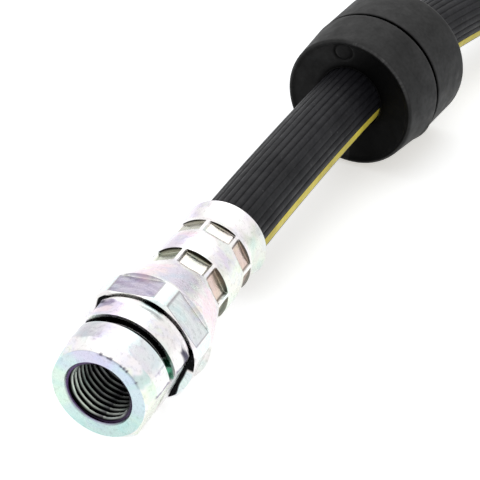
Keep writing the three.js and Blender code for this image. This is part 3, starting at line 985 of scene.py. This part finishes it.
def make_female_fitting():
    cone_end = COLLAR_END + CONE_LENGTH
    foot, top = WALL_INSETS
    clip_wall = wall_points(CLIP_GROOVE_END, CLIP_GROOVE_RADIUS + foot, LAND_RADIUS - top, 8)
    collar_front = wall_points(COLLAR_START, COLLAR_FRONT_FROM, HEX_CORNER_RADIUS - HEX_CHAMFER, 12)
    outside = [
        (0, COUNTERSINK_RADIUS, 0.06),
        *wall_points(0, COUNTERSINK_RADIUS + foot, FACE_RADIUS - top, 10),
        (0, FACE_RADIUS, 0.12),
        (NOSE_CHAMFER_LENGTH, NOSE_RADIUS, 0.2),
        (NOSE_LENGTH, NOSE_RADIUS, 0.15),
        (NOSE_LENGTH, CLIP_GROOVE_RADIUS, 0.15),
        (CLIP_GROOVE_END, CLIP_GROOVE_RADIUS, 0.05),
        *clip_wall,
        (CLIP_GROOVE_END, LAND_RADIUS, 0.1),
        (LAND_END, LAND_RADIUS, 0.03),
        (LAND_END + RIM_FRONT_CHAMFER, RIM_RADIUS, 0.05),
        (RIM_END, HEX_DISTANCE, 0.05),
        (RIM_END, THIN_GROOVE_RADIUS, 0.1),
        (COLLAR_START, THIN_GROOVE_RADIUS, 0.1),
        *collar_front,
        (COLLAR_START + HEX_CHAMFER, HEX_CORNER_RADIUS, 0.08),
        (COLLAR_END, HEX_CORNER_RADIUS, 0.15),
    ]
    ferrule = [(cone_end + s, r, f) for s, r, f in ferrule_outside()]
    line = rounded(outside + ferrule + [(cone_end + FERRULE_LENGTH, BELL_INNER_RADIUS, 0.1)])
    stations = [cone_end + s for s in ferrule_stations()]
    stations += [*np.arange(NOSE_FIRST_STATION, RIM_END, NOSE_STEP), GROOVE_LINE_STATION]
    stations += wall_stations(PANEL_START, CORNER_EASE)
    stations += wall_stations(COLLAR_FLAT_END, CORNER_EASE)
    stations += list(np.arange(PANEL_START, COLLAR_FLAT_END, PANEL_STEP))
    stations += list(np.arange(COLLAR_END, cone_end, CONE_STEP))
    along, radius = columns(with_stations(line, stations), AROUND)
    angles = all_round(AROUND)

    nose_flats = flat_limit(angles, NOSE_FLATS_ANGLE, NOSE_FLAT_DISTANCE, 180)[None, :]
    hexagon = flat_limit(angles, FEMALE_HEX_CORNER + HEX_PITCH / 2, HEX_DISTANCE, HEX_PITCH)[None, :]
    on_nose = (along <= RIM_END + EDGE / 2)[:, None]
    radius = np.where(on_nose, soft_min(radius, nose_flats, CORNER_EASE), radius)
    on_rim = ((along > LAND_END) & (along <= RIM_END + EDGE / 2))[:, None]
    radius = np.where(on_rim, soft_min(radius, hexagon, CORNER_EASE), radius)
    on_flats = 1 - smooth_step(COLLAR_FLAT_END - CORNER_EASE, COLLAR_FLAT_END, along)
    on_flats = on_flats * (along >= COLLAR_START)
    radius = radius - on_flats[:, None] * (radius - soft_min(radius, hexagon, CORNER_EASE))

    paint = plain_paint(along, angles, PLATE)
    lay_tints_and_painted_light(paint, along, angles, FEMALE_TINTS_AND_PAINTED_LIGHT)
    paint_gap(paint, along, radius, angles)
    paint_clip_wall(paint, along, radius, angles)
    paint_collar(paint, along, angles)
    paint_nicks(paint, along, radius, angles)
    radius = press_crimps(paint, along - cone_end, radius, angles)

    inside = [(cone_end + s, r, f) for s, r, f in ferrule_mouth()]
    inside += [
        (PORT_DEPTH, HOSE_BORE_RADIUS, 0.05),
        (PORT_DEPTH, LINER_RADIUS, 0.05),
        (LINER_START, LINER_RADIUS, 0.05),
        (COUNTERSINK_DEPTH, THREAD_MAJOR_RADIUS, 0.05),
        (0, COUNTERSINK_RADIUS, 0.05),
    ]
    inner_along, inner_radius = columns(rounded(inside)[:-1], AROUND)
    # Inside of the port in black painted shade, mauve at its mouth
    inner_paint = plain_paint(inner_along, angles, PORT_SHADE_BLACK)
    lay(inner_paint, MAUVE, band(inner_along, 0, 0.25, 0.2)[:, None])
    outer, inner = (along, radius, paint), (inner_along, inner_radius, inner_paint)
    return plated_object("female_end_body", FEMALE_PLACE, angles, outer, inner)


def thread_height(along, angles, crest, root):
    """Radius of a thread's flank-to-flank wave, crest and root slightly flattened."""
    phase = (along[:, None] / THREAD_PITCH - angles[None, :] / 360) % 1
    wave = np.clip(THREAD_FLATNESS * (2 * np.abs(2 * phase - 1) - 1), -1, 1)
    return (crest + root) / 2 + (root - crest) / 2 * wave


def make_port_thread():
    start, end = PORT_THREAD_START, PORT_DEPTH - THREAD_STEP
    along = np.arange(start, end, THREAD_STEP)
    angles = all_round(THREAD_AROUND)
    wave = thread_height(along, angles, THREAD_MINOR_RADIUS, THREAD_MAJOR_RADIUS)
    lead = smooth_step(*PORT_LEAD_IN, along)[:, None]
    outer = THREAD_MAJOR_RADIUS + EDGE
    radius = outer + lead * (wave - outer)
    back = LINER_RADIUS + LINER_WALL
    closing = [(end, THREAD_MINOR_RADIUS), (end, LINER_RADIUS), (end, back), (start, back)]
    closing_along, closing_radius = columns([Vector(point) for point in closing], THREAD_AROUND)
    along = np.concatenate([along, closing_along])
    radius = np.concatenate([radius, closing_radius])
    # Thread in black painted shade, with painted light on its crests
    paint = plain_paint(along, angles, PORT_SHADE_BLACK)
    paint_port(paint, along, radius, angles)
    return plated_object("female_port_thread", FEMALE_PLACE, angles, (along, radius, paint))


def make_male_fitting():
    hex_start = FERRULE_LENGTH + CONE_LENGTH
    hex_end = hex_start + MALE_HEX_LENGTH
    shoulder_end = hex_end + MALE_SHOULDER_LENGTH
    neck_end = shoulder_end + MALE_NECK_LENGTH
    tip = neck_end + MALE_THREAD_LENGTH
    ferrule = [(FERRULE_LENGTH - s, r, f) for s, r, f in reversed(ferrule_outside())]
    outside = [
        (0, MOUTH_INNER_RADIUS, 0.1),
        (0, BELL_INNER_RADIUS, 0.1),
        *ferrule,
        (hex_start, CONE_BASE_RADIUS, 0.3),
        (hex_start + EDGE, HEX_CORNER_RADIUS, 0.05),
        (hex_end - HEX_CHAMFER, HEX_CORNER_RADIUS, 0.1),
        (hex_end, HEX_CORNER_RADIUS - HEX_CHAMFER, 0.1),
        (hex_end, MALE_SHOULDER_RADIUS, 0.1),
        (shoulder_end, MALE_SHOULDER_RADIUS, 0.15),
        (shoulder_end, MALE_NECK_RADIUS, 0.15),
        (neck_end, MALE_NECK_RADIUS, 0.1),
        (neck_end + MALE_TIP_CHAMFER, THREAD_MAJOR_RADIUS, 0.1),
        (tip - MALE_TIP_CHAMFER, THREAD_MAJOR_RADIUS, 0.1),
        (tip, MALE_TIP_RADIUS, 0.1),
        (tip, FLUID_BORE_RADIUS, 0.1),
    ]
    stations = [FERRULE_LENGTH - s for s in ferrule_stations()]
    stations += list(np.arange(FERRULE_LENGTH, hex_start, CONE_STEP))
    stations += list(np.arange(neck_end, tip, MALE_THREAD_STEP))
    along, radius = columns(with_stations(rounded(outside), stations), MALE_AROUND)
    angles = all_round(MALE_AROUND)

    hexagon = flat_limit(angles, MALE_HEX_CORNER + HEX_PITCH / 2, HEX_DISTANCE, HEX_PITCH)[None, :]
    on_hex = ((along > FERRULE_LENGTH) & (along < hex_end + EDGE))[:, None]
    radius = np.where(on_hex, soft_min(radius, hexagon, CORNER_EASE), radius)
    paint = plain_paint(along, angles, GREY_WHITE)
    lay_tints_and_painted_light(paint, along, angles, MALE_STAINS)
    away = off_centre(angles, MALE_HEX_CORNER + HEX_PITCH / 2, HEX_PITCH)[None, :]
    panel = band(along, hex_start + 0.5, hex_end - 0.7, 0.1)[:, None]
    lay(paint, PANEL_MAUVE, 0.8 * panel * band(np.abs(away), 0, PANEL_HALF_ANGLE, 1))
    # Painted shade: a dark line round each flat
    lay(paint, SLATE, 0.4 * panel * band(np.abs(away), *PANEL_BORDER, 0.5))
    radius = press_crimps(paint, FERRULE_LENGTH - along, radius, angles)
    wave = thread_height(along, angles, THREAD_MAJOR_RADIUS, THREAD_MINOR_RADIUS)
    threaded = ((along > neck_end) & (radius[:, 0] > FLUID_BORE_RADIUS + 1))[:, None]
    # Painted shade in the thread's roots
    lay(paint, SLATE, 0.8 * threaded * smooth_step(THREAD_MAJOR_RADIUS, THREAD_MINOR_RADIUS, wave))
    radius = np.where(threaded, np.minimum(radius, wave), radius)

    inside = [
        (tip, FLUID_BORE_RADIUS, 0.1),
        (FERRULE_LENGTH - WAIST_END, FLUID_BORE_RADIUS, 0.1),
        (FERRULE_LENGTH - WAIST_END, MOUTH_INNER_RADIUS, 0.1),
        (0, MOUTH_INNER_RADIUS, 0.1),
    ]
    inner_along, inner_radius = columns(rounded(inside)[1:-1], MALE_AROUND)
    # Inside of the male end in painted shade
    inner_paint = plain_paint(inner_along, angles, SLATE)
    outer, inner = (along, radius, paint), (inner_along, inner_radius, inner_paint)
    return plated_object("male_end_body", MALE_PLACE, angles, outer, inner)


# Grommet


def grommet_line():
    """Outline from inside the bore round the front and back again, with close rings on the face."""
    groove_end = GROMMET_FRONT_LENGTH + GROMMET_GROOVE_WIDTH
    groove_radius = GROMMET_REAR_RADIUS - GROMMET_GROOVE_DEPTH
    seam = GROMMET_LENGTH - GROMMET_SEAM_DEPTH
    outside = [
        (seam, GROMMET_GRIP_RADIUS, 0.2),
        (GROMMET_DISH_DEPTH, GROMMET_GRIP_RADIUS, 0.3),
        (0.45, GROMMET_FACE_RADIUS - 1.1, 0.5),
        (0, GROMMET_FACE_RADIUS - 0.6, 0.25),
        (0.3, GROMMET_FACE_RADIUS - 0.05, 0.3),
        (GROMMET_FRONT_LENGTH, GROMMET_SHOULDER_RADIUS, 0.2),
        (GROMMET_FRONT_LENGTH, groove_radius, 0.1),
        (groove_end, groove_radius, 0.1),
        (groove_end, GROMMET_REAR_RADIUS, 0.2),
        (GROMMET_LENGTH, GROMMET_REAR_RADIUS, 0.8),
        (GROMMET_LENGTH, GROMMET_GRIP_RADIUS, 0.3),
        (seam, GROMMET_GRIP_RADIUS, 0.2),
    ]
    stations = np.arange(GROMMET_STEP, GROMMET_LENGTH, GROMMET_STEP)
    line = with_stations(rounded(outside)[:-1], stations)
    result = []
    for before, here in zip(line, line[1:] + line[:1]):
        result.append(before)
        if before.x < GROMMET_DISH_DEPTH and here.x < before.x and (before - here).length > 1:
            result += [before.lerp(here, t) for t in np.linspace(0.02, 0.98, GROMMET_FACE_RINGS)]
    return result


def paint_grommet(along, radius, angles, on_face, mark_shade):
    """Tones of the grommet as shares of its rubber's own: painted shade over the face, on one side of
    the mould mark, round the hose and in the groove, and a painted highlight along the front edge.
    """
    paint = plain_paint(along, angles, np.ones(3))
    lay(paint, FACE_TONE, on_face)
    lay(paint, SHADED_TONE, band(angles, *SHADED_ANGLES, 50)[None, :] * on_face)
    lay(paint, MARK_TONE, mark_shade)
    # Painted shade round the hose and in the groove
    lay(paint, CONTACT_SHADE_TONE, on_face * (1 - smooth_step(*CONTACT_SHADE_RADII, radius)))
    groove_end = GROMMET_FRONT_LENGTH + GROMMET_GROOVE_WIDTH
    in_groove = band(along, GROMMET_FRONT_LENGTH - EDGE, groove_end + EDGE, EDGE)[:, None]
    lay(paint, CONTACT_SHADE_TONE, in_groove * (radius < GROMMET_REAR_RADIUS - 0.15))
    # Painted highlight along the front edge, uneven round it
    front_edge = band(along, 0, 0.25, 0.2)[:, None] * band(radius, *EDGE_HIGHLIGHT_RADII, 0.15)
    uneven = np.random.default_rng(3).random(GROMMET_AROUND) ** EDGE_HIGHLIGHT_UNEVENNESS
    edge_highlight = (EDGE_HIGHLIGHT_LEAST + (1 - EDGE_HIGHLIGHT_LEAST) * uneven) * band(angles, *EDGE_HIGHLIGHT_ANGLES, 14)
    lay(paint, EDGE_HIGHLIGHT_TONE, front_edge * edge_highlight[None, :])
    return paint


def make_grommet():
    """Grommet with its mould mark and moulding lip, and a bore that grips the hose off centre."""
    along, radius = columns(grommet_line(), GROMMET_AROUND)
    angles = all_round(GROMMET_AROUND)
    points, _ = turned_points(along, radius, angles)

    mark_radius, mark_angle = MOULD_MARK_PLACE
    mark_turn = math.radians(mark_angle)
    mark = np.array([-mark_radius * math.sin(mark_turn), mark_radius * math.cos(mark_turn)])
    on_face = (along < GROMMET_DISH_DEPTH)[:, None] & (radius < GROMMET_FACE_RADIUS - 0.4)
    away = np.hypot(points[..., 1] - mark[0], points[..., 2] - mark[1]) - MOULD_MARK_RADIUS
    dent = np.exp(-((away / MOULD_MARK_WIDTH) ** 2)) * on_face
    points[..., 0] += MOULD_MARK_DEPTH * dent

    lip = np.exp(-((off_centre(angles, MOULD_LIP_ANGLE, 360) / MOULD_LIP_SPREAD) ** 2))[None, :]
    lip_start = GROMMET_FRONT_LENGTH - MOULD_LIP_LENGTH
    lip = lip * band(along, lip_start, GROMMET_FRONT_LENGTH, 0.25)[:, None]
    lip = lip * (radius > GROMMET_REAR_RADIUS - GROMMET_GROOVE_DEPTH + 0.4)
    points[..., 1:] *= 1 + MOULD_LIP_HEIGHT * lip[..., None] / GROMMET_SHOULDER_RADIUS

    nearness = 1 - smooth_step(GROMMET_GRIP_RADIUS, GROMMET_FACE_RADIUS - 1, radius)
    share = np.clip(along / GROMMET_LENGTH, 0, 1)[:, None, None]
    shift = (1 - share) * np.array(GRIP_SHIFT_FRONT) + share * np.array(GRIP_SHIFT_REAR)
    points[..., 1:] += nearness[..., None] * shift

    mark_shade = dent * np.where(points[..., 1] > mark[0], *MARK_SHARES)
    paint = paint_grommet(along, radius, angles, on_face, mark_shade)
    return grid_object("grommet_body", points, {"paint": paint}, GROMMET_PLACE, GROMMET_RUBBER)


# Hose


def between(a, b, low, high, t):
    """Point for t on the line through a, for low, and b, for high."""
    return (high - t) / (high - low) * a + (t - low) / (high - low) * b


def catmull_rom(points, step):
    """Evenly spaced points on a centripetal curve through the given ones, in millimetres."""
    points = np.asarray(points, float)
    ends = [2 * points[0] - points[1], *points, 2 * points[-1] - points[-2]]
    dense = []
    for a, b, c, d in zip(ends, ends[1:], ends[2:], ends[3:]):
        k = [0.0]
        for p, q in ((a, b), (b, c), (c, d)):
            k.append(k[-1] + math.sqrt(np.linalg.norm(q - p)))
        for t in np.linspace(k[1], k[2], ROUTE_PARTS, endpoint=False):
            ab = between(a, b, k[0], k[1], t)
            bc = between(b, c, k[1], k[2], t)
            cd = between(c, d, k[2], k[3], t)
            abc = between(ab, bc, k[0], k[2], t)
            bcd = between(bc, cd, k[1], k[3], t)
            dense.append(between(abc, bcd, k[1], k[2], t))
    dense.append(points[-1])
    dense = np.array(dense)
    run = np.concatenate([[0], np.cumsum(np.linalg.norm(np.diff(dense, axis=0), axis=1))])
    places = np.linspace(0, run[-1], max(2, round(run[-1] / step)))
    return np.stack([np.interp(places, run, dense[:, i]) for i in range(3)], axis=1), places


def make_hose():
    line, run = catmull_rom(HOSE_ROUTE, HOSE_STEP)
    forward = np.gradient(line, axis=0)
    forward /= np.linalg.norm(forward, axis=1)[:, None]
    up = np.array([0, 0, 1.0]) - forward * forward[:, 2:3]
    up /= np.linalg.norm(up, axis=1)[:, None]
    right = np.cross(forward, up)
    offsets = all_round(HOSE_AROUND)[None, :]
    stripe = np.interp(run, STRIPE_RUN, STRIPE_ANGLE)[:, None]
    turn = np.radians(stripe + offsets)
    ribs = np.abs(np.sin(np.radians(offsets * RIB_COUNT / 2))) ** RIB_SHARPNESS
    ribs = np.repeat(ribs, len(run), axis=0)
    on_stripe = np.abs(offsets[0]) <= STRIPE_HALF_ANGLE
    radius = np.where(on_stripe, HOSE_RADIUS - STRIPE_SINK, HOSE_RADIUS - RIB_DEPTH * (1 - ribs))
    # Painted shade in the grooves between the ribs, none on the stripe
    rib_tone = GROOVE_TONE + (1 - GROOVE_TONE) * smooth_step(*GROOVE_FADE, ribs)
    tint = np.where(on_stripe, 1, rib_tone)
    across = np.cos(turn)[..., None] * up[:, None, :] + np.sin(turn)[..., None] * right[:, None, :]
    points = line[:, None, :] + radius[..., None] * across
    place = Matrix.Translation(ORIGIN) @ Matrix.Scale(MM, 4)
    looks = {"paint": np.repeat(tint[..., None], 3, axis=2)}
    hose = grid_object("hose_tube", points, looks, place, HOSE_RUBBER, loop=False)
    hose.data.materials.append(STRIPE)
    corner = np.arange(len(hose.data.polygons)) % HOSE_AROUND
    striped = on_stripe[corner] & on_stripe[(corner + 1) % HOSE_AROUND]
    hose.data.polygons.foreach_set("material_index", striped.astype(np.int32))
    path = [Vector(p) * MM + ORIGIN for p in line]
    return hose, path, run[-1]


female = make_female_fitting()
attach(female, "root")
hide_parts("female_end_fitting")

port_thread = make_port_thread()
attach(port_thread, "root")

male = make_male_fitting()
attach(male, "root")
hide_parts("male_end_fitting")

grommet = make_grommet()
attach(grommet, "root")
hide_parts("support_grommet")

hose, hose_path, hose_length = make_hose()
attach(hose, "root")
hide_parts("hose")

for insert in ("female_end_insert", "male_end_insert"):
    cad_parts[insert].data.materials.clear()
    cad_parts[insert].data.materials.append(INSERT_STEEL)


# Stage

FLOOR_SIDE = 6
FLOOR_GLOW = 0.58
FLOOR_GLOW_COLOUR = (1.0, 0.97, 0.91, 1)
FLOOR_SHOWN_COLOUR = (0.80, 0.84, 0.90, 1)
FLOOR_TONE = 0.9
WORLD_STRENGTH = 0.55
LAMPS = [
    # Name, place from the grommet, size and power
    ("key", (0.45, 0.25, 1.25), 1.7, 6),
    ("fill", (-0.3, 0.2, 1.5), 2.0, 2.5),
]


def seen_share(nodes, links):
    """1 for what the camera sees, directly or in a reflection, and 0 for the light on the object."""
    path = nodes.new("ShaderNodeLightPath")
    seen = path.outputs["Is Camera Ray"]
    for kind in ("Is Glossy Ray", "Is Transmission Ray"):
        either = nodes.new("ShaderNodeMath")
        either.operation = "MAXIMUM"
        links.new(seen, either.inputs[0])
        links.new(path.outputs[kind], either.inputs[1])
        seen = either.outputs[0]
    return seen


def make_floor():
    bpy.ops.mesh.primitive_plane_add(size=FLOOR_SIDE)
    floor = bpy.context.object
    floor.name = "floor"
    material, nodes, links, shader = new_material("floor")
    nodes.remove(shader)
    plain = nodes.new("ShaderNodeBsdfDiffuse")
    plain.inputs["Color"].default_value = (FLOOR_TONE, FLOOR_TONE, FLOOR_TONE, 1)
    shown = nodes.new("ShaderNodeBsdfDiffuse")
    shown.inputs["Color"].default_value = FLOOR_SHOWN_COLOUR
    glow = nodes.new("ShaderNodeEmission")
    glow.inputs["Color"].default_value = FLOOR_GLOW_COLOUR
    glow.inputs["Strength"].default_value = FLOOR_GLOW
    both = nodes.new("ShaderNodeAddShader")
    links.new(shown.outputs[0], both.inputs[0])
    links.new(glow.outputs[0], both.inputs[1])
    mix = nodes.new("ShaderNodeMixShader")
    links.new(seen_share(nodes, links), mix.inputs["Fac"])
    links.new(plain.outputs[0], mix.inputs[1])
    links.new(both.outputs[0], mix.inputs[2])
    links.new(mix.outputs[0], nodes["Material Output"].inputs["Surface"])
    floor.data.materials.append(material)


def make_world():
    world = bpy.data.worlds.new("world")
    bpy.context.scene.world = world
    world.use_nodes = True
    nodes, links = world.node_tree.nodes, world.node_tree.links
    background = nodes["Background"]
    background.inputs["Color"].default_value = (1, 1, 1, 1)
    strength = nodes.new("ShaderNodeMapRange")
    strength.inputs["To Min"].default_value = WORLD_STRENGTH
    strength.inputs["To Max"].default_value = 1
    links.new(seen_share(nodes, links), strength.inputs["Value"])
    links.new(strength.outputs["Result"], background.inputs["Strength"])


def make_lamp(name, place, target, size, power):
    lamp = bpy.data.objects.new(name, bpy.data.lights.new(name, "AREA"))
    bpy.context.scene.collection.objects.link(lamp)
    lamp.data.shape = "DISK"
    lamp.data.size = size
    lamp.data.energy = power
    lamp.location = place
    lamp.rotation_euler = (target - lamp.location).to_track_quat("-Z", "Y").to_euler()


make_floor()
make_world()
middle = GROMMET_PLACE.translation
for name, place, size, power in LAMPS:
    make_lamp(name, middle + Vector(place), middle, size, power)

bpy.context.scene.view_settings.view_transform = "Standard"
